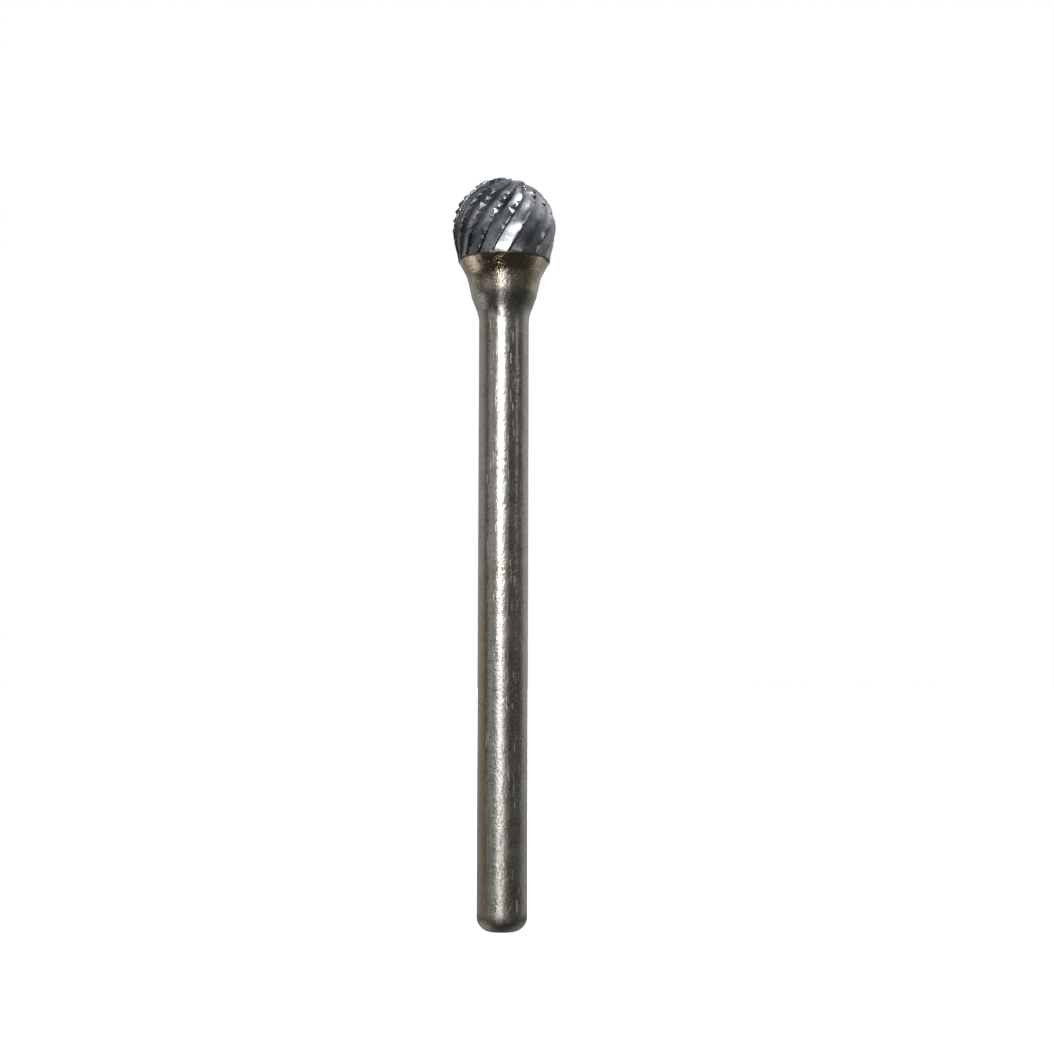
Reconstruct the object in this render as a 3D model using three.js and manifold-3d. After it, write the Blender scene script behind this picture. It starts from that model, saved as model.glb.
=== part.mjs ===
// Ball-shaped carbide burr: a double-cut tungsten carbide ball brazed to a straight steel shank.
//
// Millimetres. +Z runs along the axis from the shank towards the head, and the centre of the
// shank's flat end face is the origin.

import * as THREE from 'three';
import { mergeVertices } from 'three/addons/utils/BufferGeometryUtils.js';
import Module from 'manifold-3d';

const wasm = await Module();
wasm.setup();

// ---------------------------------------------------------------- driving dimensions

const TEETH = 18;                 // right-hand cutting flutes round the ball
const BREAKERS = 16;              // left-hand chip-breaker grooves that cross them

const CUTTING_EDGE = 0.91;        // place of the cutting edge in its pitch; the rake face lies beyond it
const COLUMN_SHARES = [0, 0.45, 0.83, CUTTING_EDGE];  // places in a pitch that get a column of points
const SIDES = TEETH * COLUMN_SHARES.length;           // the same for every round piece, so that they meet

const SHANK_RADIUS = 1.5;         // fits a 3 mm collet
const END_ROUNDING = 0.85;        // rounded corner of the shank's free end
const FLARE_START_Z = 36.5;       // the neck flares from here to the ball, over two soft shoulders
const FLARE_ROUNDING = 2.2;
const LOWER_SHOULDER_RADIUS = 1.96;
const LOWER_SHOULDER_Z = 37.7;
const LOWER_SHOULDER_ROUNDING = 1.2;
const UPPER_SHOULDER_RADIUS = 2.22;
const UPPER_SHOULDER_Z = 38.9;
const UPPER_SHOULDER_ROUNDING = 2;

const BALL_RADIUS = 3.175;
const OVERALL_LENGTH = 45;
const BALL_CENTRE_Z = OVERALL_LENGTH - BALL_RADIUS;
const BASE_CONE_ANGLE = radians(16);   // the ball runs into a cone below this angle

const JOINT_Z = 39.85;            // top of the steel
const BRAZE_THICKNESS = 0.08;
const HEAD_BASE_Z = JOINT_Z + BRAZE_THICKNESS;

const SPIGOT_RADIUS = 0.9;        // centres the ball on the shank while it is brazed
const SPIGOT_HEIGHT = 1.0;
const SPIGOT_CHAMFER = 0.15;
const SOCKET_RADIUS = SPIGOT_RADIUS + BRAZE_THICKNESS;
const SOCKET_TOP_Z = JOINT_Z + SPIGOT_HEIGHT + BRAZE_THICKNESS;

const FLUTE_ANGLE = radians(31);  // between a flute and the ball's meridian
const FLUTE_PHASE = radians(16.6);
const FLUTE_DEPTH = 0.28;
const FLUTE_BASE_SHARE = 0.34;    // how deep the flutes are where they reach the braze
const PAIRING_START = radians(38);     // above this latitude every second tooth dies away
const PAIRING_END = radians(60);
const PAIRED_DEPTH = 1.5;         // flutes are this much deeper where only every second tooth is left
const FLUTE_END = radians(80);    // the flutes run out just short of the tip
const FULL_DEPTH_RADIUS = BALL_RADIUS / 1.15;   // flutes get shallower where the ball is thinner than this

const BREAKER_ANGLE = radians(60);     // between a chip-breaker and the meridian
const BREAKER_PHASE = radians(7.8);
const BREAKER_DEPTH = 0.14;
const BREAKER_HALF_WIDTH = 0.3;
const BREAKER_RUN_OUT = 0.12;     // share of its length over which a groove fades at each end
const BREAKER_END = radians(66);

const CORNER_STEPS = 4;           // facets in a rounded corner of the shank
const CONE_STEPS = 3;             // rows of facets up the ball's cone, and up the ball above it
const BALL_STEPS = 12;
const GROOVE_STEPS = 14;          // facets along a chip-breaker
const MERGE_DISTANCE = 1e-5;      // points closer than this are one point

function radians(degrees) {
    return THREE.MathUtils.degToRad(degrees);
}

// ---------------------------------------------------------------- materials

const shankSteel = new THREE.MeshStandardMaterial({ color: 0x77726b, roughness: 0.32, metalness: 1 });
const brazeAlloy = new THREE.MeshStandardMaterial({ color: 0x8a7a48, roughness: 0.45, metalness: 1 });
const carbide = new THREE.MeshStandardMaterial({ color: 0x4c5056, roughness: 0.22, metalness: 1 });

// ---------------------------------------------------------------- outlines and lathes

// A corner of an outline in the (radius, z) plane; round is the radius of its arc, or 0.
function corner(radius, z, round = 0) {
    return { point: new THREE.Vector2(radius, z), round };
}

// Turns a list of corners into outline points, with an arc in place of each rounded corner.
function roundedOutline(corners, arcSteps) {
    const points = [];
    corners.forEach(({ point, round }, i) => {
        if (round === 0) {
            points.push(point);
            return;
        }
        const back = corners[i - 1].point.clone().sub(point).normalize();
        const on = corners[i + 1].point.clone().sub(point).normalize();
        const halfAngle = Math.acos(back.dot(on)) / 2;
        const inset = round / Math.tan(halfAngle);
        const start = point.clone().addScaledVector(back, inset);
        const end = point.clone().addScaledVector(on, inset);
        const towardsCentre = back.clone().add(on).normalize();
        const centre = point.clone().addScaledVector(towardsCentre, round / Math.sin(halfAngle));
        for (let step = 0; step <= arcSteps; step++) {
            const spoke = start.clone().lerp(end, step / arcSteps).sub(centre);
            points.push(centre.clone().add(spoke.setLength(round)));
        }
    });
    return points;
}

// Spins an outline round +Z. It runs anticlockwise, from the axis back to the axis.
function lathe(outline) {
    const geometry = new THREE.LatheGeometry(outline, SIDES);
    geometry.rotateX(Math.PI / 2);
    return geometry;
}

// ---------------------------------------------------------------- shank and braze

const BRAZE_BOTTOM_RADIUS = coneRadius(JOINT_Z);
const HEAD_BASE_RADIUS = coneRadius(HEAD_BASE_Z);

// Radius of the cone that runs tangentially off the ball towards the shank.
function coneRadius(z) {
    const tangentZ = BALL_CENTRE_Z - BALL_RADIUS * Math.sin(BASE_CONE_ANGLE);
    const tangentRadius = BALL_RADIUS * Math.cos(BASE_CONE_ANGLE);
    return tangentRadius - (tangentZ - z) * Math.tan(BASE_CONE_ANGLE);
}

// Straight shank, flared neck with two soft shoulders, and the spigot on top.
function shankGeometry() {
    const spigotTop = JOINT_Z + SPIGOT_HEIGHT;
    return lathe(roundedOutline([
        corner(0, 0),
        corner(SHANK_RADIUS, 0, END_ROUNDING),
        corner(SHANK_RADIUS, FLARE_START_Z, FLARE_ROUNDING),
        corner(LOWER_SHOULDER_RADIUS, LOWER_SHOULDER_Z, LOWER_SHOULDER_ROUNDING),
        corner(UPPER_SHOULDER_RADIUS, UPPER_SHOULDER_Z, UPPER_SHOULDER_ROUNDING),
        corner(BRAZE_BOTTOM_RADIUS, JOINT_Z),
        corner(SPIGOT_RADIUS, JOINT_Z),
        corner(SPIGOT_RADIUS, spigotTop - SPIGOT_CHAMFER),
        corner(SPIGOT_RADIUS - SPIGOT_CHAMFER, spigotTop),
        corner(0, spigotTop),
    ], CORNER_STEPS));
}

// The braze fills the gap between the steel and the carbide: a thin ring under the ball,
// a sleeve round the spigot and a disc on top of it.
function brazeGeometry() {
    const spigotTop = JOINT_Z + SPIGOT_HEIGHT;
    return lathe(roundedOutline([
        corner(0, spigotTop),
        corner(SPIGOT_RADIUS - SPIGOT_CHAMFER, spigotTop),
        corner(SPIGOT_RADIUS, spigotTop - SPIGOT_CHAMFER),
        corner(SPIGOT_RADIUS, JOINT_Z),
        corner(BRAZE_BOTTOM_RADIUS, JOINT_Z),
        corner(HEAD_BASE_RADIUS, HEAD_BASE_Z),
        corner(SOCKET_RADIUS, HEAD_BASE_Z),
        corner(SOCKET_RADIUS, SOCKET_TOP_Z),
        corner(0, SOCKET_TOP_Z),
    ], 0));
}

// ---------------------------------------------------------------- the ball's surface

// Stations up the ball from its base to its tip. Each holds the radius and z of the smooth
// ball, its latitude, and turn: the angle round the axis that a line at 45 degrees to the
// meridian has made by then. A line at angle a turns by turn * tan(a).
function ballStations() {
    const stations = [];
    const tangentZ = BALL_CENTRE_Z - BALL_RADIUS * Math.sin(BASE_CONE_ANGLE);
    for (let step = 0; step < CONE_STEPS; step++) {
        const z = THREE.MathUtils.lerp(HEAD_BASE_Z, tangentZ, step / CONE_STEPS);
        stations.push({ radius: coneRadius(z), z, latitude: -BASE_CONE_ANGLE });
    }
    for (let step = 0; step <= BALL_STEPS; step++) {
        const latitude = THREE.MathUtils.lerp(-BASE_CONE_ANGLE, FLUTE_END, step / BALL_STEPS);
        stations.push({
            radius: BALL_RADIUS * Math.cos(latitude),
            z: BALL_CENTRE_Z + BALL_RADIUS * Math.sin(latitude),
            latitude,
        });
    }
    let turn = 0;
    stations.forEach((station, i) => {
        if (i > 0) {
            const below = stations[i - 1];
            const length = Math.hypot(station.radius - below.radius, station.z - below.z);
            turn += 2 * length / (station.radius + below.radius);
        }
        station.turn = turn;
    });
    return stations;
}

// Depth of a sawtooth across one pitch, from 0 at the cutting edge to 1 at the root.
// The clearance face climbs slowly to the edge; the rake face then drops away steeply.
function sawtooth(share) {
    if (share < CUTTING_EDGE) {
        return 1 - share / CUTTING_EDGE;
    }
    return (share - CUTTING_EDGE) / (1 - CUTTING_EDGE);
}

// How far a flat clearance face lies below the round ball, which bulges between the face's two edges.
function flattening(share, radius) {
    const climb = Math.min(share / CUTTING_EDGE, 1);
    const bulge = radius * (1 - Math.cos(Math.PI * CUTTING_EDGE / TEETH));
    return bulge * 4 * climb * (1 - climb);
}

// Flute depth in mm for a column at this share of a pair of teeth (0 to 2) and this station.
function fluteDepth(pairShare, station) {
    const pairing = THREE.MathUtils.smoothstep(station.latitude, PAIRING_START, PAIRING_END);
    const single = sawtooth(pairShare % 1);
    const paired = sawtooth(pairShare / 2);
    const shape = THREE.MathUtils.lerp(single, paired * PAIRED_DEPTH, pairing);
    const heightShare = (station.z - HEAD_BASE_Z) / (BALL_CENTRE_Z - HEAD_BASE_Z);
    const rise = THREE.MathUtils.lerp(FLUTE_BASE_SHARE, 1, Math.min(heightShare, 1));
    const crowding = Math.min(station.radius / FULL_DEPTH_RADIUS, 1);
    const flat = flattening(pairShare % 1, station.radius) * (1 - pairing);
    return FLUTE_DEPTH * rise * crowding * shape + flat;
}

// The ball with its flutes: a lathe whose columns follow the teeth round the ball.
function flutedBall() {
    const stations = ballStations();
    const socket = [
        new THREE.Vector2(0, SOCKET_TOP_Z),
        new THREE.Vector2(SOCKET_RADIUS, SOCKET_TOP_Z),
        new THREE.Vector2(SOCKET_RADIUS, HEAD_BASE_Z),
    ];
    const outline = [
        ...socket,
        ...stations.map(({ radius, z }) => new THREE.Vector2(radius, z)),
        new THREE.Vector2(0, OVERALL_LENGTH),
    ];
    const geometry = lathe(outline);
    const position = geometry.attributes.position;
    for (let i = 0; i < position.count; i++) {
        const column = Math.floor(i / outline.length) % SIDES;
        const station = stations[i % outline.length - socket.length];
        if (station === undefined) {
            continue;
        }
        const tooth = Math.floor(column / COLUMN_SHARES.length);
        const share = COLUMN_SHARES[column % COLUMN_SHARES.length];
        const lead = 2 * Math.PI * (tooth + share) / TEETH + FLUTE_PHASE;
        const angle = lead + station.turn * Math.tan(FLUTE_ANGLE);
        const depth = fluteDepth(tooth % 2 + share, station);
        const radius = station.radius - depth * Math.cos(station.latitude);
        const z = station === stations[0] ? station.z : station.z - depth * Math.sin(station.latitude);
        position.setXYZ(i, radius * Math.cos(angle), radius * Math.sin(angle), z);
    }
    return geometry;
}

// One chip-breaker: a V-shaped bar bent along a left-hand line up the ball, which sinks in
// just above the braze and rises out again near the tip.
function breakerCutter(index) {
    const stations = ballStations().slice(1).filter(({ latitude }) => latitude < BREAKER_END);
    const start = 2 * Math.PI * index / BREAKERS + BREAKER_PHASE;
    const centreLine = new THREE.CatmullRomCurve3(stations.map(({ radius, z, turn }) => {
        const angle = start - turn * Math.tan(BREAKER_ANGLE);
        return new THREE.Vector3(radius * Math.cos(angle), radius * Math.sin(angle), z);
    }));
    const overhang = 0.25;     // the bar stands this far out of the ball
    const clearance = 0.02;    // and its ends lie this far clear of it
    const topHalfWidth = BREAKER_HALF_WIDTH * (1 + overhang / BREAKER_DEPTH);
    const bar = new THREE.CylinderGeometry(1, 1, 1, 3, GROOVE_STEPS);
    const position = bar.attributes.position;
    const onBar = new THREE.Vector3();
    for (let i = 0; i < position.count; i++) {
        onBar.fromBufferAttribute(position, i);
        const share = 0.5 - onBar.y;
        const point = centreLine.getPoint(share);
        const outward = point.clone().setZ(point.z - BALL_CENTRE_Z).normalize();
        const across = centreLine.getTangent(share).cross(outward).normalize();
        const fade = Math.min(1, share / BREAKER_RUN_OUT, (1 - share) / BREAKER_RUN_OUT);
        const depth = THREE.MathUtils.lerp(-clearance, BREAKER_DEPTH, fade);
        const onEdge = Math.hypot(onBar.x, onBar.z) > 0.5;
        const onRidge = onBar.z > 0.9;
        if (onRidge) {
            point.addScaledVector(outward, -depth);
        } else if (onEdge) {
            point.addScaledVector(outward, overhang);
            point.addScaledVector(across, Math.sign(onBar.x) * topHalfWidth);
        }
        position.setXYZ(i, point.x, point.y, point.z);
    }
    return bar;
}

// ---------------------------------------------------------------- booleans

// A closed three.js geometry as a manifold solid.
function solidOf(geometry) {
    const bare = geometry.clone();
    bare.deleteAttribute('normal');
    bare.deleteAttribute('uv');
    const merged = mergeVertices(bare, MERGE_DISTANCE);
    const index = merged.index.array;
    const triangles = [];
    for (let i = 0; i < index.length; i += 3) {
        const [a, b, c] = index.slice(i, i + 3);
        if (a !== b && b !== c && c !== a) {
            triangles.push(a, b, c);
        }
    }
    return new wasm.Manifold(new wasm.Mesh({
        numProp: 3,
        vertProperties: merged.attributes.position.array,
        triVerts: new Uint32Array(triangles),
    }));
}

// A manifold solid as a three.js geometry.
function geometryOf(solid) {
    const { vertProperties, triVerts } = solid.getMesh();
    const geometry = new THREE.BufferGeometry();
    geometry.setAttribute('position', new THREE.BufferAttribute(vertProperties, 3));
    geometry.setIndex(new THREE.BufferAttribute(triVerts, 1));
    geometry.computeVertexNormals();
    return geometry;
}

// The finished head: the fluted ball less its chip-breaker grooves.
function headGeometry() {
    let head = solidOf(flutedBall());
    for (let index = 0; index < BREAKERS; index++) {
        head = head.subtract(solidOf(breakerCutter(index)));
    }
    return geometryOf(head);
}

// ---------------------------------------------------------------- assembly

function part(name, geometry, material) {
    const mesh = new THREE.Mesh(geometry, material);
    mesh.name = name;
    return mesh;
}

const burr = new THREE.Group();
burr.add(
    part('shank', shankGeometry(), shankSteel),
    part('braze_layer', brazeGeometry(), brazeAlloy),
    part('carbide_head', headGeometry(), carbide),
);

export default burr;
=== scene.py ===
"""Looks of a ball-shaped carbide burr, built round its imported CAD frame.

Blender units are metres. +Z is the burr's axis, the shank's flat end is at z = 0, and the camera
looks along +Y. Angles round the burr go from +X towards +Y. Places in the studio round it are given
by azimuth, from the camera's side (-Y) towards +X, and elevation.
"""

import math

import bpy
import numpy as np
from mathutils import Matrix, Vector

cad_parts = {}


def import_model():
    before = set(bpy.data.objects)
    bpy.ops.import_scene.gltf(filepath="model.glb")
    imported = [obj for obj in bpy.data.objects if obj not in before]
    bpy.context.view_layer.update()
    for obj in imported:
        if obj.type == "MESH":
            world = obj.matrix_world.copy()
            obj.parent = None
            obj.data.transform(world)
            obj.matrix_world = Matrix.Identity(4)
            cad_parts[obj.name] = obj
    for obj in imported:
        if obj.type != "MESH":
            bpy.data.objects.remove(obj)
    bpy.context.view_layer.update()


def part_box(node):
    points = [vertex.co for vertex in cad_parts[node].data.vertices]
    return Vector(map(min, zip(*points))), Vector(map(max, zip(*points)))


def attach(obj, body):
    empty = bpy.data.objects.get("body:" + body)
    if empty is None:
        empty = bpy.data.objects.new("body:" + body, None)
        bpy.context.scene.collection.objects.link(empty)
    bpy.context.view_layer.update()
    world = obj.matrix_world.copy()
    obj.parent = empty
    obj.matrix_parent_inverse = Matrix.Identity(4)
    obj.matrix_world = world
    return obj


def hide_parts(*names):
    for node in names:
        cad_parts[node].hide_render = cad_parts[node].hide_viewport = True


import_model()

MM = 0.001
BODY = "root"

# ---------------------------------------------------------------- levels from the frame

JOINT_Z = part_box("braze_layer")[0].z
HEAD_BASE_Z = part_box("carbide_head")[0].z
SOCKET_TOP_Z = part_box("braze_layer")[1].z
SPIGOT_TOP_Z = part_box("shank")[1].z
TIP_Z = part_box("carbide_head")[1].z

# ---------------------------------------------------------------- dimensions of the ball

BALL_RADIUS = 3.175 * MM
BALL_CENTRE_Z = TIP_Z - BALL_RADIUS
BASE_CONE_ANGLE = math.radians(16)
TANGENT_Z = BALL_CENTRE_Z - BALL_RADIUS * math.sin(BASE_CONE_ANGLE)
TANGENT_RADIUS = BALL_RADIUS * math.cos(BASE_CONE_ANGLE)
SOCKET_RADIUS = 0.98 * MM
TOP_LATITUDE = math.radians(88.5)
TIP_WEAR = 0.01 * MM            # how far the ball's tip lies below TIP_Z
BALL_STEP = 0.05 * MM           # between the rows of its grid
BALL_SHARP_ANGLE = math.radians(32)

TEETH = 18
FLUTE_ANGLE = math.radians(31)
FLUTE_PHASE = math.radians(16.6)
FLUTE_DEPTH = 0.28 * MM
FLUTE_BASE_SHARE = 0.34         # share of the depth at the ball's base
NEAR_AXIS_SHARE = 1.15          # share of the depth for each ball radius away from the axis, up to 1
PAIRING = (math.radians(38), math.radians(60))  # latitudes between which every second tooth dies away
PAIRED_DEPTH = 1.5              # depth of the flutes of the paired teeth
CUTTING_EDGE = 0.91             # share of the pitch at which the cutting edge stands
EDGE_ROUNDING = 0.4             # softness of the cutting edge, 0 is sharp
GULLET_COLUMNS = 8              # columns of the grid from the root to FINE_FROM
EDGE_COLUMNS = 11               # columns from there to LAST_COLUMN, round the cutting edge
FINE_FROM = 0.84
LAST_COLUMN = 0.99

TEETH_SEED = 1456
TOOTH_DEPTH_SPREAD = 0.2        # how much the depth varies from tooth to tooth
TOOTH_STAGGER = 0.06            # how far a tooth is out of place, in pitches

CREST_WEAR = 0.045 * MM         # how much is worn off the cutting edges
CREST_WEAR_FADE = 0.6 * MM      # length up the outline over which the wear sets in
WORN_SIDE = math.radians(-35)   # middle of the side that is worn more
WORN_COSINES = (0.3, 0.95)      # cosine of the angle to WORN_SIDE where its wear starts and is full
WORN_SIDE_EXTRA = 0.7           # more wear of the crests there

# ---------------------------------------------------------------- chip-breakers

BREAKERS = 16
BREAKER_ANGLE = math.radians(60)
BREAKER_PHASE = math.radians(7.8)
BREAKER_DEPTH = 0.19 * MM
BREAKER_WALLS = (math.radians(20), math.radians(45))  # slopes of the lower and the upper wall
BREAKER_START = 0.4 * MM        # lengths up the outline where they start and reach full depth
BREAKER_FULL = 1.6 * MM
BREAKER_END = math.radians(66)  # latitude
BREAKER_RUN_OUT = math.radians(14)  # latitude over which they die away before it

BREAKERS_SEED = 11
BREAKER_SHIFT = 0.03            # how far a chip-breaker is out of place, in radians
BREAKER_DEPTH_SPREAD = 0.2      # how much the depth varies from one to the next
NICK_SPACING = 0.45 * MM
NICK_SHARE = 0.4                # how much the depth varies along a chip-breaker
WORN_SHALLOWER = 0.4            # how much shallower it is on the worn side
WORN_NICKS = 1.1                # depth of the single nicks that are left there

CUTTER_STEP = 0.08 * MM
CUTTER_LIFT = 0.01 * MM         # how far above the surface a cutter passes where its depth is 0
CUTTER_OVERHANG = 0.25 * MM     # how far the cutter reaches out of its groove

# ---------------------------------------------------------------- dimensions of the shank

SHANK_RADIUS = 1.5 * MM
END_ROUNDING = 0.85 * MM
# Corners of the neck's outline: radius, z, rounding.
FLARE_START = (SHANK_RADIUS, 36.5 * MM, 2.2 * MM)
LOWER_SHOULDER = (1.96 * MM, 37.7 * MM, 1.2 * MM)
UPPER_SHOULDER = (2.22 * MM, 38.9 * MM, 2 * MM)
SPIGOT_RADIUS = 0.9 * MM
SPIGOT_CHAMFER = 0.15 * MM
SHANK_COLUMNS = 144
SHANK_STEP = 0.085 * MM
ARC_STEPS = 24                  # in each rounded corner
SHANK_SHARP_ANGLE = math.radians(30)

WEAR_SEED = 3
MEAN_WEAR = 0.004 * MM
# Unevenness of the used steel: depth, height of a noise cell, noise cells in one turn.
WAVES = (0.0024 * MM, 0.45 * MM, 26)
RIPPLES = (0.0012 * MM, 0.2 * MM, 58)
GRINDING_RINGS = (0.0012 * MM, 0.16 * MM, 3)
PITS = (0.014 * MM, 0.24 * MM, 44)
HEAT_SCALE = (0.005 * MM, 0.22 * MM, 70)
PIT_THRESHOLD = 0.72            # noise above which the steel is pitted
SCALED_Z = (37.2 * MM, 38.6 * MM)           # where the heat scale starts and where it is full
FADE_BELOW_JOINT = (0.12 * MM, 0.02 * MM)   # how far under the joint the wear starts to fade and ends
FADE_ABOVE_END = 0.1 * MM                   # height over which it sets in at the flat end

# ---------------------------------------------------------------- dimensions of the braze

BRAZE_COLUMNS = 360
BRAZE_SHARP_ANGLE = math.radians(50)
BRAZE_SEED = 5
UNEVEN_CELLS = 40               # noise cells in one turn, of the slow unevenness and of the lumps
LUMP_CELLS = 95
# The fillet runs down the steel from the joint, and the bead stands out between steel and carbide.
FILLET_HEIGHT = 0.07 * MM
FILLET_UNEVENNESS = 0.06 * MM
FILLET_LUMPS = 0.025 * MM
LOWEST_FILLET = 0.01 * MM
BEAD_BULGE = 0.016 * MM
BEAD_LUMPS = 0.008 * MM
BEAD_TOP = 0.015 * MM           # how far it rises on the carbide
BEAD_BOTTOM = 0.02 * MM         # how far it reaches down over the steel
# How far corners of the braze lie inside the surfaces of the steel and the carbide.
FILLET_INSET = 0.03 * MM
JOINT_INSET = 0.1 * MM
BEAD_INSET = 0.14 * MM
EDGE_INSET = 0.02 * MM


# ---------------------------------------------------------------- small helpers

def smoothstep(value, low, high):
    """0 below low, 1 above high and a smooth ramp between them, for numbers and arrays."""
    t = np.clip((value - low) / (high - low), 0, 1)
    return t * t * (3 - 2 * t)


def round_axis(radius, angle, z):
    """Points at these radii and angles round the axis, as arrays with x, y and z along the last axis."""
    coordinates = np.broadcast_arrays(radius * np.cos(angle), radius * np.sin(angle), z)
    return np.stack(coordinates, axis=-1)


def rounded_outline(corners):
    """Points of an outline given as (radius, z, rounding) corners, with arcs for the rounded ones."""
    points = []
    for i, (radius, z, rounding) in enumerate(corners):
        here = np.array([radius, z])
        if rounding == 0:
            points.append(here)
            continue
        back = np.array(corners[i - 1][:2]) - here
        on = np.array(corners[i + 1][:2]) - here
        back /= np.linalg.norm(back)
        on /= np.linalg.norm(on)
        half_angle = math.acos(float(back @ on)) / 2
        inset = rounding / math.tan(half_angle)
        towards_centre = (back + on) / np.linalg.norm(back + on)
        centre = here + towards_centre * rounding / math.sin(half_angle)
        for t in np.linspace(0, 1, ARC_STEPS + 1):
            spoke = here + back * inset * (1 - t) + on * inset * t - centre
            points.append(centre + spoke * rounding / np.linalg.norm(spoke))
    return np.array(points)


def resample(points, step):
    """The same outline with points no further apart than step."""
    dense = [points[0]]
    for a, b in zip(points[:-1], points[1:]):
        count = max(1, math.ceil(np.linalg.norm(b - a) / step))
        dense += [a + (b - a) * k / count for k in range(1, count + 1)]
    return np.array(dense)


def mesh_object(name, points, faces, material):
    """A smooth-shaded mesh object from a point array and a list of faces, riding on the burr."""
    mesh = bpy.data.meshes.new(name)
    mesh.from_pydata(points.tolist(), [], faces)
    mesh.materials.append(material)
    mesh.update()
    mesh.shade_smooth()
    piece = bpy.data.objects.new(name, mesh)
    bpy.context.scene.collection.objects.link(piece)
    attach(piece, BODY)
    return piece


def grid_faces(rows, columns):
    """Quads between the rows of a grid that closes on itself round the axis."""
    row, column = np.meshgrid(np.arange(rows - 1), np.arange(columns), indexing="ij")
    on = (column + 1) % columns
    quads = np.stack([row * columns + column, row * columns + on,
                      (row + 1) * columns + on, (row + 1) * columns + column], axis=-1)
    return quads.reshape(-1, 4).tolist()


def revolved(rings, bottom, top):
    """Points and faces of a closed body: rings of points (rows, columns, 3) from bottom to top."""
    rows, columns = rings.shape[:2]
    points = np.concatenate([rings.reshape(-1, 3), [bottom], [top]])
    last = (rows - 1) * columns
    faces = grid_faces(rows, columns)
    faces += [[(k + 1) % columns, k, rows * columns] for k in range(columns)]
    faces += [[last + k, last + (k + 1) % columns, rows * columns + 1] for k in range(columns)]
    return points, faces


def sharpen(piece, angle):
    """Marks edges between faces that meet at more than this angle as sharp."""
    bpy.context.view_layer.objects.active = piece
    piece.select_set(True)
    bpy.ops.object.shade_smooth_by_angle(angle=angle)
    piece.select_set(False)


def set_attribute(piece, name, values):
    """Stores a number per point for the materials, on the face corners, so that cuts keep it sharp."""
    mesh = piece.data
    corners = np.empty(len(mesh.loops), np.int32)
    mesh.loops.foreach_get("vertex_index", corners)
    attribute = mesh.attributes.new(name, "FLOAT", "CORNER")
    attribute.data.foreach_set("value", np.asarray(values, np.float32)[corners])


def patch_noise(turns, up, cells, chance):
    """Smooth noise from -1 to 1, with this many cells in one turn round the axis and one per unit up."""
    table = chance.uniform(-1, 1, (int(np.max(up)) + 2, cells))
    column = np.floor(turns * cells).astype(int)
    row = np.floor(up).astype(int)
    right = smoothstep(turns * cells - column, 0, 1)
    above = smoothstep(up - row, 0, 1)
    low = table[row, column % cells] * (1 - right) + table[row, (column + 1) % cells] * right
    high = table[row + 1, column % cells] * (1 - right) + table[row + 1, (column + 1) % cells] * right
    return low * (1 - above) + high * above


# ---------------------------------------------------------------- carbide ball

def cone_radius(z):
    """Radius of the cone that runs tangentially off the ball towards the shank."""
    return TANGENT_RADIUS - (TANGENT_Z - z) * math.tan(BASE_CONE_ANGLE)


def ball_stations(step):
    """Radius, z, latitude, length and turn up the ball's smooth outline, as arrays.

    A line at angle a to the meridian has gone turn * tan(a) round the axis by each station."""
    cone_z = np.arange(HEAD_BASE_Z, TANGENT_Z - step / 2, step)
    latitude = np.arange(-BASE_CONE_ANGLE, TOP_LATITUDE, step / BALL_RADIUS)
    radius = np.concatenate([cone_radius(cone_z), BALL_RADIUS * np.cos(latitude)])
    z = np.concatenate([cone_z, BALL_CENTRE_Z + BALL_RADIUS * np.sin(latitude)])
    latitude = np.concatenate([np.full(len(cone_z), -BASE_CONE_ANGLE), latitude])
    steps = np.hypot(np.diff(radius), np.diff(z))
    length = np.concatenate([[0], np.cumsum(steps)])
    turn = np.concatenate([[0], np.cumsum(steps * 2 / (radius[1:] + radius[:-1]))])
    return radius, z, latitude, length, turn


def worn_share(angle):
    """How worn the ball is at these angles: 1 in the middle of its worn side, 0 away from it."""
    return smoothstep(np.cos(angle - WORN_SIDE), *WORN_COSINES)


def tooth_columns():
    """The tooth and the share of its pitch at each column of the grid, finer at the cutting edge."""
    gullet = np.linspace(0, FINE_FROM, GULLET_COLUMNS, endpoint=False)
    edge = np.linspace(FINE_FROM, LAST_COLUMN, EDGE_COLUMNS, endpoint=False)
    per_tooth = np.concatenate([gullet, edge, [LAST_COLUMN]])
    return np.repeat(np.arange(TEETH), len(per_tooth)), np.tile(per_tooth, TEETH)


def sawtooth(share):
    """Depth across one pitch, 1 at the root and 0 at the cutting edge, which is worn round."""
    climb = 1 - share / CUTTING_EDGE
    rake = (share - CUTTING_EDGE) / (1 - CUTTING_EDGE)
    rounded = (climb + rake + np.sqrt((climb - rake) ** 2 + EDGE_ROUNDING ** 2)) / 2
    return (rounded - EDGE_ROUNDING / 2) / (1 - EDGE_ROUNDING / 2)


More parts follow.
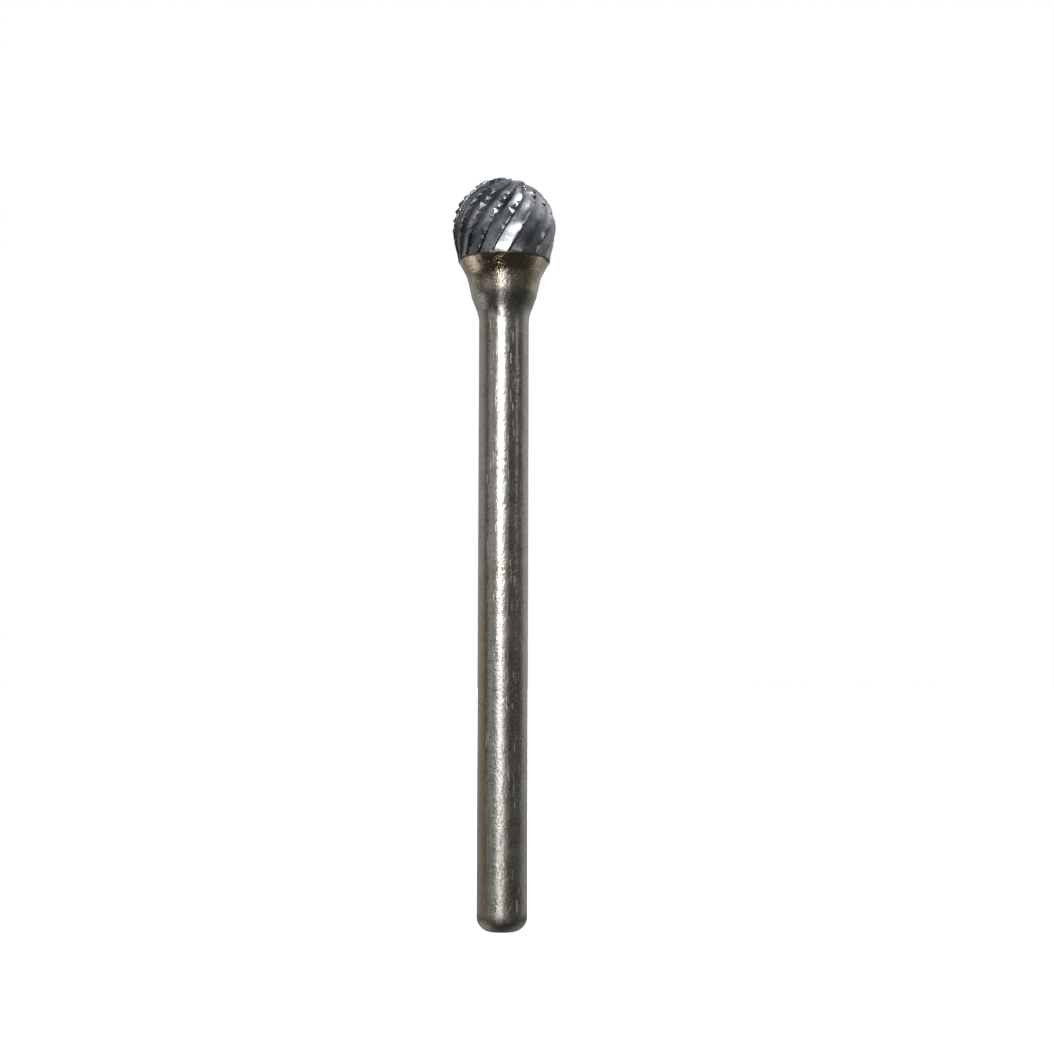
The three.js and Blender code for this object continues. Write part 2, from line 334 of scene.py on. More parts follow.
def flute_depth(stations, tooth, share, tooth_depth, angle):
    """How far the fluted surface lies below the smooth one, with rows up the ball and columns round it."""
    radius, z, latitude, length, _ = stations
    pairing = smoothstep(latitude, *PAIRING)
    shape = (1 - pairing) * sawtooth(share) + pairing * PAIRED_DEPTH * sawtooth((tooth % 2 + share) / 2)
    risen = np.clip((z - HEAD_BASE_Z) / (BALL_CENTRE_Z - HEAD_BASE_Z), 0, 1)
    rise = FLUTE_BASE_SHARE + (1 - FLUTE_BASE_SHARE) * risen
    crowding = np.minimum(NEAR_AXIS_SHARE * radius / BALL_RADIUS, 1)
    climb = np.clip(share / CUTTING_EDGE, 0, 1)
    flattening = radius * (1 - math.cos(math.pi * CUTTING_EDGE / TEETH)) * 4 * climb * (1 - climb)
    wear = CREST_WEAR * (1 + WORN_SIDE_EXTRA * worn_share(angle)) * smoothstep(length, 0, CREST_WEAR_FADE)
    return FLUTE_DEPTH * tooth_depth * rise * crowding * shape + flattening * (1 - pairing) + wear


def fluted_ball(material):
    """The ball with its right-hand flutes and its socket: a grid whose columns follow the teeth."""
    stations = [station[:, None] for station in ball_stations(BALL_STEP)]
    radius, z, latitude, _, turn = stations
    tooth, share = tooth_columns()
    columns = len(share)

    chance = np.random.RandomState(TEETH_SEED)
    tooth_depth = 1 + TOOTH_DEPTH_SPREAD * chance.uniform(-1, 1, TEETH)
    stagger = TOOTH_STAGGER * chance.uniform(-1, 1, TEETH)
    place = tooth + share + stagger[tooth] * (1 - share) + stagger[(tooth + 1) % TEETH] * share

    plain = 2 * math.pi * place / TEETH + FLUTE_PHASE
    angle = plain + turn * math.tan(FLUTE_ANGLE)
    depth = flute_depth(stations, tooth, share, tooth_depth[tooth], angle)
    ring_z = z - depth * np.sin(latitude)
    ring_z[0] = HEAD_BASE_Z
    outer = round_axis(radius - depth * np.cos(latitude), angle, ring_z)
    socket = [round_axis(SOCKET_RADIUS, plain, level) for level in (SOCKET_TOP_Z, HEAD_BASE_Z)]
    rings = np.concatenate([np.array(socket), outer])
    points, faces = revolved(rings, (0, 0, SOCKET_TOP_Z), (0, 0, TIP_Z - TIP_WEAR))
    piece = mesh_object("carbide_ball", points, faces, material)

    def per_point(grid):
        """The grid's numbers in the order of the points, with 0 for the socket and the two poles."""
        grid = np.broadcast_to(grid, depth.shape)
        return np.concatenate([np.zeros(2 * columns), grid.ravel(), [0, 0]])

    set_attribute(piece, "across", per_point(tooth + share))
    set_attribute(piece, "along", per_point(turn))
    set_attribute(piece, "root", per_point(depth / FLUTE_DEPTH))
    set_attribute(piece, "groove", np.zeros(len(points)))
    return piece


def breaker_depth(latitude, length, angle, chance):
    """Depth along a chip-breaker, which grows in from the base, is nicked and runs out near the tip."""
    deeper = 1 + BREAKER_DEPTH_SPREAD * chance.uniform(-1, 1)
    knots = np.arange(0, length[-1] + 1 * MM, NICK_SPACING)
    nicks = np.interp(length, knots, chance.uniform(-1, 1, len(knots)))
    worn = worn_share(angle)
    single_nicks = WORN_NICKS * worn * np.maximum(nicks, 0) ** 2
    uneven = (1 + NICK_SHARE * nicks) * (1 - WORN_SHALLOWER * worn) + single_nicks
    grown = np.clip((length - BREAKER_START) / (BREAKER_FULL - BREAKER_START), 0, 1)
    run_out = 1 - smoothstep(latitude, BREAKER_END - BREAKER_RUN_OUT, BREAKER_END)
    return BREAKER_DEPTH * deeper * uneven * grown * run_out - CUTTER_LIFT


def breaker_cutter(index, chance, material):
    """A V-shaped bar along one left-hand chip-breaker."""
    radius, z, latitude, length, turn = ball_stations(CUTTER_STEP)
    used = (length >= BREAKER_START) & (latitude <= BREAKER_END)
    radius, z, latitude, length, turn = (a[used] for a in (radius, z, latitude, length, turn))
    shift = BREAKER_SHIFT * chance.uniform(-1, 1)
    angle = 2 * math.pi * index / BREAKERS + BREAKER_PHASE + shift - turn * math.tan(BREAKER_ANGLE)
    depth = breaker_depth(latitude, length, angle, chance)

    centre = round_axis(radius, angle, z)
    outward = round_axis(np.cos(latitude), angle, np.sin(latitude))
    across = np.cross(np.gradient(centre, axis=0), outward)
    across /= np.linalg.norm(across, axis=1, keepdims=True)
    lower, upper = ((depth + CUTTER_OVERHANG) / math.tan(wall) for wall in BREAKER_WALLS)
    points = np.concatenate([
        centre - across * lower[:, None] + outward * CUTTER_OVERHANG,
        centre - outward * depth[:, None],
        centre + across * upper[:, None] + outward * CUTTER_OVERHANG,
    ])
    rows = len(centre)
    faces = []
    for a, b in ((0, 1), (1, 2), (2, 0)):
        faces += [[a * rows + k, a * rows + k + 1, b * rows + k + 1, b * rows + k] for k in range(rows - 1)]
    faces += [[0, rows, 2 * rows], [rows - 1, 3 * rows - 1, 2 * rows - 1]]

    piece = mesh_object(f"breaker_cutter_{index}", points, faces, material)
    set_attribute(piece, "across", np.repeat([0.0, 0.2, 0.4], rows) + index)
    set_attribute(piece, "along", np.tile(turn, 3))
    set_attribute(piece, "root", np.repeat([0.0, 1.0, 0.0], rows))
    set_attribute(piece, "groove", np.ones(len(points)))
    return piece


def cut(piece, cutter):
    """Subtracts the cutter from the piece and removes it."""
    bpy.context.view_layer.objects.active = piece
    boolean = piece.modifiers.new("cut", "BOOLEAN")
    boolean.operation = "DIFFERENCE"
    boolean.solver = "MANIFOLD"
    boolean.object = cutter
    bpy.ops.object.modifier_apply(modifier=boolean.name)
    mesh = cutter.data
    bpy.data.objects.remove(cutter)
    bpy.data.meshes.remove(mesh)


def carbide_ball(material):
    """The fluted ball, crossed by its chip-breakers."""
    piece = fluted_ball(material)
    chance = np.random.RandomState(BREAKERS_SEED)
    for index in range(BREAKERS):
        cut(piece, breaker_cutter(index, chance, material))
    sharpen(piece, BALL_SHARP_ANGLE)
    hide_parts("carbide_head")
    return piece


# ---------------------------------------------------------------- steel shank and braze

def shank_wear(turns, z):
    """How far the used surface lies below the true one: waves, grinding rings, pits and scale."""
    chance = np.random.RandomState(WEAR_SEED)
    wear = MEAN_WEAR
    for depth, cell, cells in (WAVES, RIPPLES, GRINDING_RINGS):
        wear = wear + depth * patch_noise(turns, z / cell, cells, chance)
    depth, cell, cells = PITS
    wear = wear + depth * smoothstep(patch_noise(turns, z / cell, cells, chance), PIT_THRESHOLD, 1)
    depth, cell, cells = HEAT_SCALE
    wear = wear + depth * patch_noise(turns, z / cell, cells, chance) * smoothstep(z, *SCALED_Z)
    below_joint = 1 - smoothstep(z, *(JOINT_Z - level for level in FADE_BELOW_JOINT))
    above_end = smoothstep(z, 0, FADE_ABOVE_END)
    return wear * below_joint * above_end


def shank(material):
    """The straight shank with its flared neck and spigot, and the wear of a used tool in its surface."""
    corners = rounded_outline([
        (0, 0, 0),
        (SHANK_RADIUS, 0, END_ROUNDING),
        FLARE_START,
        LOWER_SHOULDER,
        UPPER_SHOULDER,
        (cone_radius(JOINT_Z), JOINT_Z, 0),
        (SPIGOT_RADIUS, JOINT_Z, 0),
        (SPIGOT_RADIUS, SPIGOT_TOP_Z - SPIGOT_CHAMFER, 0),
        (SPIGOT_RADIUS - SPIGOT_CHAMFER, SPIGOT_TOP_Z, 0),
        (0, SPIGOT_TOP_Z, 0),
    ])
    outline = resample(corners, SHANK_STEP)[1:-1]
    turns = np.arange(SHANK_COLUMNS)[None, :] / SHANK_COLUMNS
    z = np.repeat(outline[:, 1:], SHANK_COLUMNS, axis=1)
    radius = outline[:, :1] - shank_wear(turns, z)
    rings = round_axis(radius, 2 * math.pi * turns, z)
    points, faces = revolved(rings, (0, 0, 0), (0, 0, SPIGOT_TOP_Z))
    piece = mesh_object("steel_shank", points, faces, material)
    sharpen(piece, SHANK_SHARP_ANGLE)
    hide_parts("shank")
    return piece


def braze(material):
    """The braze: a sleeve round the spigot, and a ring under the ball with an uneven fillet below it."""
    turns = np.arange(BRAZE_COLUMNS) / BRAZE_COLUMNS
    level = np.zeros(BRAZE_COLUMNS)
    chance = np.random.RandomState(BRAZE_SEED)
    uneven = patch_noise(turns, level, UNEVEN_CELLS, chance)
    lumps = patch_noise(turns, level, LUMP_CELLS, chance)
    fillet = FILLET_HEIGHT + FILLET_UNEVENNESS * uneven + FILLET_LUMPS * lumps
    fillet_z = JOINT_Z - np.maximum(fillet, LOWEST_FILLET)
    bulge = BEAD_BULGE + BEAD_LUMPS * lumps
    top = BEAD_TOP * (1 + uneven)
    joint_radius = cone_radius(JOINT_Z)
    base_radius = cone_radius(HEAD_BASE_Z)
    outline = [
        (SPIGOT_RADIUS - SPIGOT_CHAMFER, SPIGOT_TOP_Z),
        (SPIGOT_RADIUS, SPIGOT_TOP_Z - SPIGOT_CHAMFER),
        (SPIGOT_RADIUS, JOINT_Z),
        (joint_radius - JOINT_INSET, JOINT_Z),
        (joint_radius - JOINT_INSET, fillet_z),
        (cone_radius(fillet_z) - FILLET_INSET, fillet_z),
        (joint_radius + bulge * 0.7, JOINT_Z - BEAD_BOTTOM),
        (base_radius + bulge, (JOINT_Z + HEAD_BASE_Z) / 2),
        (base_radius + bulge * 0.6, HEAD_BASE_Z + top * 0.5),
        (base_radius - EDGE_INSET, HEAD_BASE_Z + top),
        (base_radius - BEAD_INSET, HEAD_BASE_Z + top * 0.3),
        (SOCKET_RADIUS, HEAD_BASE_Z),
        (SOCKET_RADIUS, SOCKET_TOP_Z),
    ]
    rings = np.array([round_axis(radius, 2 * math.pi * turns, z) for radius, z in outline])
    points, faces = revolved(rings, (0, 0, SPIGOT_TOP_Z), (0, 0, SOCKET_TOP_Z))
    piece = mesh_object("braze_ring", points, faces, material)
    sharpen(piece, BRAZE_SHARP_ANGLE)
    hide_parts("braze_layer")
    return piece


# ---------------------------------------------------------------- node helpers

class Nodes:
    """Adds nodes to a tree by short calls. An input is a value or another node's output."""

    def __init__(self, tree):
        self.tree = tree
        tree.nodes.clear()

    def put(self, socket, value):
        if isinstance(value, bpy.types.NodeSocket):
            self.tree.links.new(value, socket)
        else:
            socket.default_value = value

    def add(self, kind, inputs=(), **settings):
        """Any node, with its inputs by name or number and its settings by name."""
        node = self.tree.nodes.new(kind)
        for key, value in settings.items():
            setattr(node, key, value)
        for key, value in dict(inputs).items():
            self.put(node.inputs[key], value)
        return node

    def math(self, operation, *values):
        return self.add("ShaderNodeMath", dict(enumerate(values)), operation=operation).outputs[0]

    def total(self, first, *others):
        for value in others:
            first = self.math("ADD", first, value)
        return first

    def product(self, first, *others):
        for value in others:
            first = self.math("MULTIPLY", first, value)
        return first

    def ramp(self, value, span, to=(0.0, 1.0)):
        """A smooth ramp, which is to[0] at span[0] and to[1] at span[1]."""
        inputs = {"Value": value, "From Min": span[0], "From Max": span[1], "To Min": to[0], "To Max": to[1]}
        return self.add("ShaderNodeMapRange", inputs, interpolation_type="SMOOTHSTEP").outputs[0]

    def mix(self, share, a, b):
        """Colour a, with this share of colour b."""
        node = self.add("ShaderNodeMix", data_type="RGBA")
        for index, value in ((0, share), (6, a), (7, b)):
            self.put(node.inputs[index], value)
        return node.outputs[2]

    def stretched(self, vector, z_scale):
        """The vector with its z scaled: under 1 draws a texture out along the burr, over 1 flattens it."""
        inputs = {"Vector": vector, "Scale": (1.0, 1.0, z_scale)}
        return self.add("ShaderNodeMapping", inputs).outputs[0]

    def noise(self, vector, scale, detail=3.0, roughness=0.5):
        """Noise from 0 to 1; the scale is in cells per unit of the vector, which is a metre for places."""
        inputs = {"Vector": vector, "Scale": scale, "Detail": detail, "Roughness": roughness}
        return self.add("ShaderNodeTexNoise", inputs).outputs[0]

    def place(self):
        """The point on the object, in metres."""
        return self.add("ShaderNodeTexCoord").outputs["Object"]

    def attribute(self, name):
        return self.add("ShaderNodeAttribute", attribute_name=name).outputs["Fac"]

    def bump(self, strength, distance, height):
        inputs = {"Strength": strength, "Distance": distance, "Height": height}
        return self.add("ShaderNodeBump", inputs).outputs[0]

    def metal(self, colour, roughness, bump):
        """Ends the tree in a metal."""
        inputs = {"Base Color": colour, "Metallic": 1.0, "Roughness": roughness, "Normal": bump}
        shader = self.add("ShaderNodeBsdfPrincipled", inputs)
        self.add("ShaderNodeOutputMaterial", {"Surface": shader.outputs[0]})


def new_material(name):
    material = bpy.data.materials.new(name)
    material.use_nodes = True
    return material, Nodes(material.node_tree)


# ---------------------------------------------------------------- carbide

CARBIDE_TEAL = (0.32, 0.39, 0.41, 1)
CARBIDE_BLUE = (0.35, 0.39, 0.435, 1)
CARBIDE_VIOLET = (0.41, 0.39, 0.435, 1)
CARBIDE_BRIGHT = (0.48, 0.51, 0.545, 1)
CARBIDE_STAIN = (0.16, 0.175, 0.2, 1)
# colour of the painted shade in the flute roots and chip-breaker grooves
CARBIDE_ROOT_SHADE = (0.12, 0.125, 0.145, 1)
CARBIDE_PIT = (0.10, 0.105, 0.125, 1)
CARBIDE_RELIEF = 0.0024 * MM
DULL_SIDE_X = (-0.3 * MM, -1.7 * MM)  # where the ball turns dull and pitted, and where it is fully so


def carbide_colour(n, place, root, groove, dull, grain):
    """Blue-grey in several tints with stains, with painted shade darkening the roots and grooves, and pitted.
    """
    tint = n.noise(place, 380.0, detail=2.0)
    tone = n.mix(n.ramp(tint, (0.38, 0.5)), CARBIDE_TEAL, CARBIDE_BLUE)
    tone = n.mix(n.ramp(tint, (0.52, 0.66)), tone, CARBIDE_VIOLET)
    blotches = n.noise(place, 900.0)
    tone = n.mix(n.ramp(blotches, (0.35, 0.7), to=(0.0, 0.7)), tone, CARBIDE_BRIGHT)
    stains = n.noise(place, 700.0)
    tone = n.mix(n.ramp(stains, (0.5, 0.62), to=(0.0, 0.65)), tone, CARBIDE_STAIN)
    # painted shade: the flute roots and the chip-breaker grooves are darkened in the colour
    dark = n.math("MAXIMUM", n.ramp(root, (0.6, 1.05), to=(0.0, 0.55)), n.product(groove, 0.1))
    tone = n.mix(dark, tone, CARBIDE_ROOT_SHADE)
    pitted = n.product(n.ramp(grain, (0.5, 0.62)), n.ramp(dull, (0.0, 1.0), to=(0.4, 0.85)))
    return n.mix(pitted, tone, CARBIDE_PIT)


def carbide_material():
    """Ground carbide: fine grinding lines along the flutes, and a grain that is coarse in the roots."""
    material, n = new_material("carbide_ground")
    across = n.attribute("across")
    along = n.attribute("along")
    root = n.attribute("root")
    groove = n.attribute("groove")
    place = n.place()
    x = n.add("ShaderNodeSeparateXYZ", {0: place}).outputs[0]
    dull = n.ramp(x, DULL_SIDE_X)
    drawn_out = {0: n.product(across, 24.0), 1: n.product(along, 1.6), 2: 0.0}
    lines = n.noise(n.add("ShaderNodeCombineXYZ", drawn_out).outputs[0], 1.0, roughness=0.6)
    grain = n.noise(place, 9000.0, roughness=0.6)
    roughness = n.total(n.ramp(lines, (0.3, 0.7), to=(0.06, 0.15)),
                        n.ramp(root, (0.4, 1.0), to=(0.0, 0.24)),
                        n.product(dull, 0.08))
    coarseness = n.total(n.ramp(root, (0.1, 0.7), to=(0.3, 1.6)), n.product(dull, 2.6))
    height = n.total(lines, n.product(grain, coarseness))
    colour = carbide_colour(n, place, root, groove, dull, grain)
    n.metal(colour, roughness, n.bump(0.6, CARBIDE_RELIEF, height))
    return material


# ---------------------------------------------------------------- steel

STEEL_DARK = (0.49, 0.47, 0.44, 1)
STEEL_LIGHT = (0.60, 0.59, 0.565, 1)
STREAK_BROWN = (0.44, 0.37, 0.27, 1)
SPECK_BROWN = (0.17, 0.155, 0.13, 1)
PIT_BROWN = (0.12, 0.1, 0.07, 1)
# colour of a painted brown reflection down the shank's left side
REFLECTED_BROWN = (0.50, 0.35, 0.24, 1)
# colour of the painted shade towards the shank's lower end
LOWER_SHADE_GREY = (0.18, 0.17, 0.15, 1)
# colour of the painted shade at the rounded flat end
END_SHADE_GREY = (0.13, 0.12, 0.10, 1)
HEAT_STRAW = (0.64, 0.61, 0.52, 1)
HEAT_BROWN = (0.33, 0.235, 0.15, 1)
# sooty brown near the joint, partly painted shade
SOOT_AND_SHADE = (0.26, 0.21, 0.155, 1)
# colour of the painted shade on the neck's narrow part
WAIST_SHADE_GREY = (0.13, 0.13, 0.13, 1)
STEEL_RELIEF = 0.009 * MM

# Zones of the steel, each from where it starts to where it is full.
# the strip of painted brown reflection: across the left side, and up the shank
REFLECTION_FRONT_X = (-0.85 * MM, -1.15 * MM)
REFLECTION_SIDE_X = (-1.42 * MM, -1.25 * MM)
REFLECTION_Z = (26 * MM, 12 * MM)
# where the shank grows rougher and more scratched towards its lower end, and where painted shade darkens it
GRIPPED_AND_SHADED_Z = (17 * MM, 2 * MM)
# where painted shade darkens the rounded flat end
SHADED_END_Z = (1.25 * MM, 0.75 * MM)
HEATED_Z = (36.8 * MM, 38.6 * MM)
STRAW_Z = (36.6 * MM, 38.4 * MM)
BROWN_Z = (37.0 * MM, 38.6 * MM)
SOOT_Z = (38.55 * MM, 39.0 * MM)
# sideways distance from the middle at which painted shade starts to darken the sooty zone, and where it is
# strongest
FRONT_SHADE_X = (2.0 * MM, 1.3 * MM)
# where shade is painted on the neck's narrow part
WAIST_BOTTOM_Z = (36.5 * MM, 37.3 * MM)
WAIST_TOP_Z = (38.1 * MM, 37.75 * MM)
WAIST_X = (2.0 * MM, 0.8 * MM)  # measured from WAIST_CENTRE_X
WAIST_CENTRE_X = 0.4 * MM
ZONE_WANDER = 1.6 * MM

# Scratches: direction in degrees, and noise cells per metre across them.
SCRATCHES = ((12, 9000.0), (-38, 11000.0), (72, 8000.0))
SCRATCH_STRETCH = 0.05


def scratches(n, place):
    """Fine straight scratches in three directions, 1 in a scratch and 0 beside it."""
    streaks = []
    for degrees, scale in SCRATCHES:
        turn = math.radians(degrees)
        turned = n.add("ShaderNodeMapping", {"Vector": place, "Scale": (1.0, 1.0, SCRATCH_STRETCH),
                                             "Rotation": (turn, turn, 0.0)})
        streak = n.noise(turned.outputs[0], scale, detail=1.0)
        streaks.append(n.ramp(streak, (0.70, 0.76)))
    return n.total(*streaks)


def plain_steel(n, place, specks, patches):
    """Grey steel in lighter and darker patches, with brownish streaks along it and dark specks."""
    grey = n.mix(n.ramp(patches, (0.3, 0.7)), STEEL_DARK, STEEL_LIGHT)
    streaks = n.noise(n.stretched(place, 0.06), 2600.0, roughness=0.6)
    grey = n.mix(n.ramp(streaks, (0.54, 0.7), to=(0.0, 0.4)), grey, STREAK_BROWN)
    return n.mix(n.ramp(specks, (0.58, 0.7), to=(0.0, 0.65)), grey, SPECK_BROWN)


def painted_side_reflection(n, x, z):
    """How much of a brown reflection is painted on the steel: a strip down its left side, stronger towards
    the end.
    """
    return n.product(n.ramp(x, REFLECTION_SIDE_X), n.ramp(z, REFLECTION_Z, to=(0.15, 0.7)), n.ramp(x, REFLECTION_FRONT_X))


def heat_tint(n, place, x, height, grey):
    """The colours that brazing leaves towards the joint: straw, then brown, then a sooty brown that painted
    shade makes darker on the front and back than at the sides.
    """
    tinted = n.mix(n.ramp(height, STRAW_Z, to=(0.0, 0.7)), grey, HEAT_STRAW)
    patchy = n.noise(place, 620.0, detail=4.0, roughness=0.6)
    brown = n.product(n.ramp(patchy, (0.42, 0.56), to=(0.0, 0.7)), n.ramp(height, BROWN_Z))
    tinted = n.mix(brown, tinted, HEAT_BROWN)
    # sooty near the joint, with painted shade making it darker on the front and back than at the sides
    soot_and_shade = n.product(n.ramp(height, SOOT_Z), n.ramp(n.math("ABSOLUTE", x), FRONT_SHADE_X, to=(0.1, 0.8)))
    return n.mix(soot_and_shade, tinted, SOOT_AND_SHADE)


def painted_waist_shade(n, x, z, wander):
    """How much painted shade darkens the neck where it narrows to the shank, which is mostly on its front."""
    ragged = n.total(z, n.product(wander, 0.35))
    off_centre = n.math("ABSOLUTE", n.math("SUBTRACT", x, WAIST_CENTRE_X))
    return n.product(n.ramp(ragged, WAIST_BOTTOM_Z), n.ramp(ragged, WAIST_TOP_Z), n.ramp(off_centre, WAIST_X))


def steel_material():
    """Ground steel, used: heat-tinted at the neck, scratched and rougher towards the lower end, with painted
    shade darkening the neck, the shank's lower part and its flat end.
    """
    material, n = new_material("shank_ground_steel")
    place = n.place()
    x, _, z = n.add("ShaderNodeSeparateXYZ", {0: place}).outputs
    specks = n.noise(place, 8000.0, detail=2.0)
    patches = n.noise(place, 700.0, detail=4.0, roughness=0.6)
    wander = n.product(n.math("SUBTRACT", n.noise(place, 500.0), 0.5), ZONE_WANDER)
    height = n.total(z, wander)
    gripped_and_shaded = n.ramp(z, GRIPPED_AND_SHADED_Z)
    shaded_end = n.ramp(z, SHADED_END_Z)
    heat = n.ramp(height, HEATED_Z)
    waist_shade = painted_waist_shade(n, x, z, wander)

    colour = plain_steel(n, place, specks, patches)
    # painted reflection: a brown strip down the shank's left side
    colour = n.mix(painted_side_reflection(n, x, z), colour, REFLECTED_BROWN)
    # painted shade: the colour darkens towards the shank's lower end
    colour = n.mix(n.product(gripped_and_shaded, 0.36), colour, LOWER_SHADE_GREY)
    colour = heat_tint(n, place, x, height, colour)
    spotted = n.ramp(n.noise(place, 1500.0, roughness=0.7), (0.35, 0.6), to=(0.7, 0.95))
    # painted shade on the neck's narrow part, broken into spots
    colour = n.mix(n.product(waist_shade, spotted), colour, WAIST_SHADE_GREY)
    # painted shade: the rounded flat end is darkened in the colour
    colour = n.mix(n.product(shaded_end, 0.8), colour, END_SHADE_GREY)
    colour = n.mix(n.ramp(specks, (0.66, 0.74), to=(0.0, 0.6)), colour, PIT_BROWN)

    roughness = n.total(n.ramp(patches, (0.25, 0.75), to=(0.11, 0.24)), n.product(heat, -0.02),
                        n.product(gripped_and_shaded, 0.11), n.product(n.math("MAXIMUM", waist_shade, shaded_end), 0.2))

    grinding_lines = n.noise(n.stretched(place, 9.0), 1600.0, detail=4.0, roughness=0.7)
    mottle = n.total(n.noise(place, 3600.0, roughness=0.6), n.noise(place, 7000.0, detail=2.0, roughness=0.6))
    speckled = n.ramp(n.math("MAXIMUM", heat, gripped_and_shaded), (0.0, 1.0), to=(0.8, 2.1))
    scored = n.ramp(gripped_and_shaded, (0.0, 1.0), to=(0.6, 1.5))
    relief = n.total(n.product(grinding_lines, 0.6), mottle, n.product(specks, speckled),
                     n.product(scratches(n, place), scored))
    n.metal(colour, roughness, n.bump(1.0, STEEL_RELIEF, relief))
    return material


# ---------------------------------------------------------------- braze

BRAZE_OLIVE = (0.17, 0.15, 0.085, 1)
BRAZE_BROWN = (0.07, 0.06, 0.04, 1)
BRAZE_RELIEF = 0.006 * MM


def braze_material():
    """Dull olive-brown braze."""
    material, n = new_material("braze_oxidised")
    patches = n.noise(n.place(), 1500.0, detail=4.0, roughness=0.6)
    colour = n.mix(n.ramp(patches, (0.4, 0.62)), BRAZE_OLIVE, BRAZE_BROWN)
    roughness = n.ramp(patches, (0.3, 0.7), to=(0.4, 0.6))
    n.metal(colour, roughness, n.bump(0.8, BRAZE_RELIEF, patches))
    return material


# ---------------------------------------------------------------- studio

# Soft boxes round the burr: azimuth and half width in degrees, softness of the side edges,
# lowest and highest elevation, strength.
SOFT_BOXES = [
    ("key", -12, 8, 12, -9, 30, 0.35),
    ("key_low", -8, 12, 10, -32, -16, 0.25),
    ("key_left", -23, 3, 8, 2, 16, 1.4),
    ("key_right", 19, 2, 4, 3, 16, 0.7),
    ("key_middle", -12, 8, 12, -3, 30, 1.8),
    ("neck_glow", -8, 18, 16, -17, -12, 1.5),
    ("upper_left", -90, 30, 20, 26, 56, 0.4),
    ("upper_right", 22, 12, 14, 22, 54, 0.6),
    ("key_top", -9, 16, 12, 7, 30, 3.0),
    ("key_glow", -20, 26, 36, -12, 40, 0.3),
    ("right_skirt", 14, 8, 12, -14, -3, 0.4),
    ("left_fill", -60, 12, 16, -16, 40, 0.24),
    ("right_strip", 65, 1, 2, 8, 26, 2.8),
    ("left_wall", -122, 28, 36, -60, 60, 0.27),
    ("right_wall", 128, 26, 40, -60, 60, 0.35),
    ("left_low_wall", -114, 30, 24, -60, -22, 1.4),
    ("right_low_wall", 135, 26, 20, -60, -22, 0.8),
    ("back_wall", 180, 28, 40, -60, 50, 0.28),
]
LOWER_EDGE_SOFTNESS = 4
UPPER_EDGE_SOFTNESS = 6

# Round lamps: azimuth, elevation, radius and softness in degrees, strength.
LAMPS = [
    ("roof_lamp_front", -9, 72, 9, 4, 8.0),
    ("roof_lamp_left", -53, 79, 8, 4, 8.0),
    ("roof_lamp_far_left", -120, 73, 6, 3, 4.0),
    ("roof_lamp_behind_left", -144, 60, 3, 2, 1.6),
    ("roof_lamp_behind", 163, 65, 5, 3, 4.0),
    ("right_sky", 95, 60, 26, 30, 0.6),
    ("low_lamp", -12, -28, 3.5, 3, 20.0),
    ("neck_lamp", -6, -14, 4, 6, 5.0),
]

# The light between them grows from the ground to the roof.
AMBIENT_GROUND = 0.075
AMBIENT_ROOF = 3 * AMBIENT_GROUND
AMBIENT_ELEVATIONS = (math.radians(-20), math.radians(80))

DIM_LIGHT = (1.0, 0.965, 0.885, 1)
BRIGHT_LIGHT = (1.0, 0.985, 0.965, 1)
LIGHT_TONES = (0.05, 0.5)       # strengths at which the light has the one colour and the other
WHITE = (1, 1, 1, 1)

FLOOR_HALF_WIDTH = 2.0
FLOOR_REFLECTANCE = (0.9, 0.9, 0.9, 1)
FLOOR_GLOW = 0.9

LENS = 65.25                    # millimetres, on a sensor SENSOR_WIDTH wide
SENSOR_WIDTH = 36
CAMERA_PLACE = (1.42 * MM, -113.786 * MM, 15.02 * MM)
CAMERA_TILT = 4.43              # degrees up from level
CAMERA_ROLL = 0.15              # degrees
NEAREST_SEEN = 0.005
FARTHEST_SEEN = 10


def sky_direction(azimuth, elevation):
    """The unit vector towards a place on the sky."""
    level = math.cos(elevation)
    return Vector((level * math.sin(azimuth), -level * math.cos(azimuth), math.sin(elevation)))


def soft_box(n, azimuth, elevation, centre, half_width, softness, lowest, highest, strength):
    """The brightness of one soft box in every direction."""
    turned = n.math("SUBTRACT", azimuth, math.radians(centre))
    off_centre = n.math("ABSOLUTE", n.math("WRAP", turned, math.pi, -math.pi))
    outer = math.radians(half_width + softness / 2)
    inner = math.radians(max(half_width - softness / 2, 0))
    across = n.ramp(off_centre, (outer, inner), to=(0.0, strength))
    above = n.ramp(elevation, (math.radians(lowest - LOWER_EDGE_SOFTNESS),
                               math.radians(lowest + LOWER_EDGE_SOFTNESS)))
    below = n.ramp(elevation, (math.radians(highest + UPPER_EDGE_SOFTNESS),
                               math.radians(highest - UPPER_EDGE_SOFTNESS)))
    return n.product(above, below, across)


def round_lamp(n, direction, azimuth, elevation, radius, softness, strength):
    """The brightness of one round lamp in every direction."""
    towards = sky_direction(math.radians(azimuth), math.radians(elevation))
    facing = n.add("ShaderNodeVectorMath", {0: direction, 1: towards}, operation="DOT_PRODUCT")
    outer = math.cos(math.radians(radius + softness / 2))
    inner = math.cos(math.radians(radius - softness / 2))
    return n.ramp(facing.outputs["Value"], (outer, inner), to=(0.0, strength))


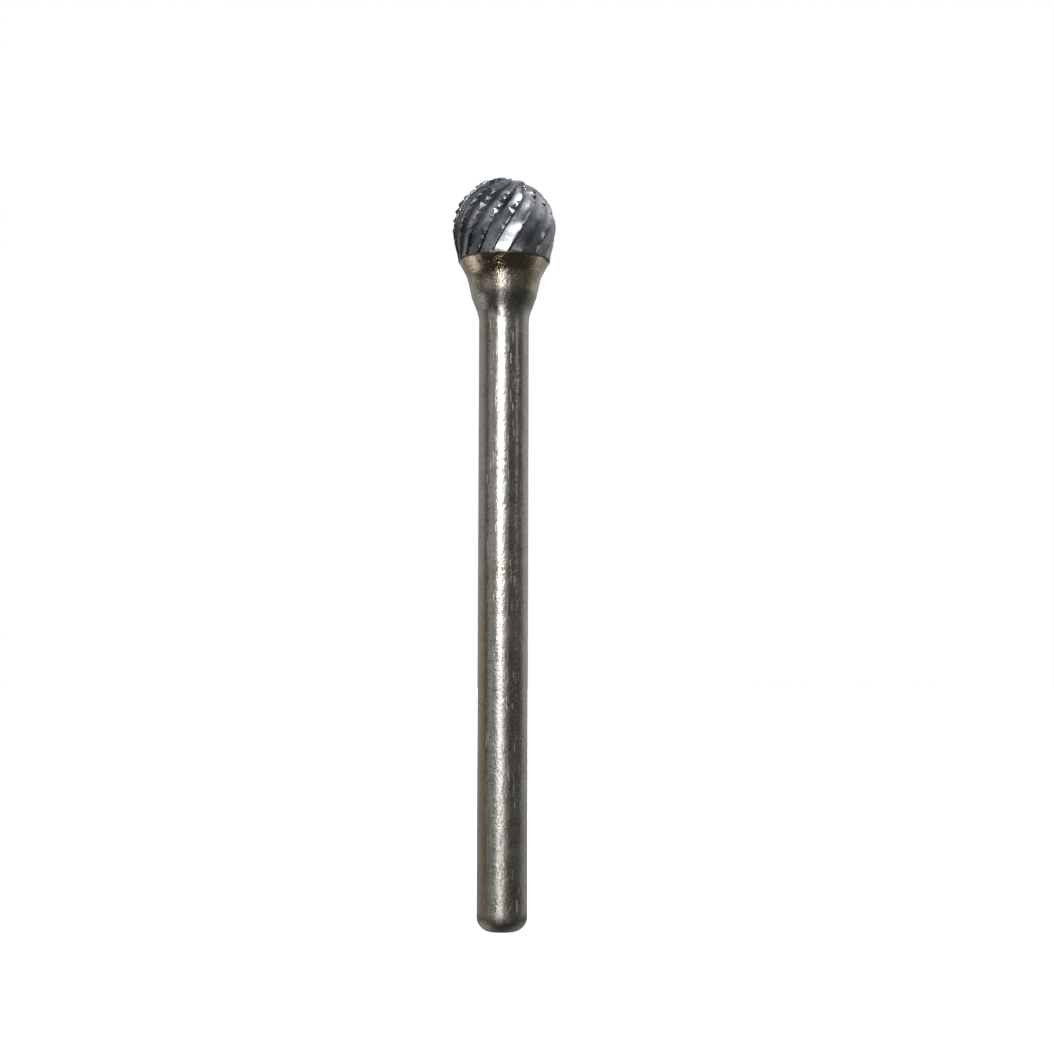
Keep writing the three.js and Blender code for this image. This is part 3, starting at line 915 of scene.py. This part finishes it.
def world():
    """A white surround for the camera, and a dark studio with lamps for everything it lights."""
    studio = bpy.data.worlds.new("studio")
    studio.use_nodes = True
    bpy.context.scene.world = studio
    n = Nodes(studio.node_tree)
    direction = n.add("ShaderNodeTexCoord").outputs["Generated"]
    x, y, z = n.add("ShaderNodeSeparateXYZ", {0: direction}).outputs
    azimuth = n.math("ARCTAN2", x, n.product(y, -1.0))
    elevation = n.math("ARCSINE", z)
    ambient = n.ramp(elevation, AMBIENT_ELEVATIONS, to=(AMBIENT_GROUND, AMBIENT_ROOF))
    boxes = [soft_box(n, azimuth, elevation, *box) for _, *box in SOFT_BOXES]
    lamps = [round_lamp(n, direction, *lamp) for _, *lamp in LAMPS]
    light = n.total(ambient, *boxes, *lamps)
    tone = n.mix(n.ramp(light, LIGHT_TONES), DIM_LIGHT, BRIGHT_LIGHT)
    lighting = n.add("ShaderNodeBackground", {"Color": tone, "Strength": light})
    backdrop = n.add("ShaderNodeBackground", {"Color": WHITE, "Strength": 1.0})
    seen = n.add("ShaderNodeLightPath").outputs["Is Camera Ray"]
    both = n.add("ShaderNodeMixShader", {0: seen, 1: lighting.outputs[0], 2: backdrop.outputs[0]})
    n.add("ShaderNodeOutputWorld", {"Surface": both.outputs[0]})


def floor():
    """A white floor that the camera sees; the metal mirrors the studio instead of it."""
    size = FLOOR_HALF_WIDTH
    corners = [(-size, -size, 0), (size, -size, 0), (size, size, 0), (-size, size, 0)]
    mesh = bpy.data.meshes.new("floor")
    mesh.from_pydata(corners, [], [(0, 1, 2, 3)])
    plane = bpy.data.objects.new("floor", mesh)
    bpy.context.scene.collection.objects.link(plane)
    material, n = new_material("floor_white")
    diffuse = n.add("ShaderNodeBsdfDiffuse", {"Color": FLOOR_REFLECTANCE})
    glow = n.add("ShaderNodeEmission", {"Color": WHITE, "Strength": FLOOR_GLOW})
    both = n.add("ShaderNodeAddShader", {0: diffuse.outputs[0], 1: glow.outputs[0]})
    n.add("ShaderNodeOutputMaterial", {"Surface": both.outputs[0]})
    mesh.materials.append(material)
    plane.visible_glossy = False
    plane.visible_diffuse = False


def camera():
    """A third of the way up the burr and tilted up a little."""
    data = bpy.data.cameras.new("camera")
    data.sensor_width = SENSOR_WIDTH
    data.lens = LENS
    data.clip_start = NEAREST_SEEN
    data.clip_end = FARTHEST_SEEN
    shot = bpy.data.objects.new("camera", data)
    bpy.context.scene.collection.objects.link(shot)
    shot.location = CAMERA_PLACE
    tilt = Matrix.Rotation(math.radians(90 + CAMERA_TILT), 3, "X")
    roll = Matrix.Rotation(math.radians(CAMERA_ROLL), 3, "Z")
    shot.rotation_euler = (tilt @ roll).to_euler()
    bpy.context.scene.camera = shot


# ---------------------------------------------------------------- scene

camera()
world()
floor()

bpy.context.scene.view_settings.view_transform = "Standard"

carbide_ball(carbide_material())
shank(steel_material())
braze(braze_material())
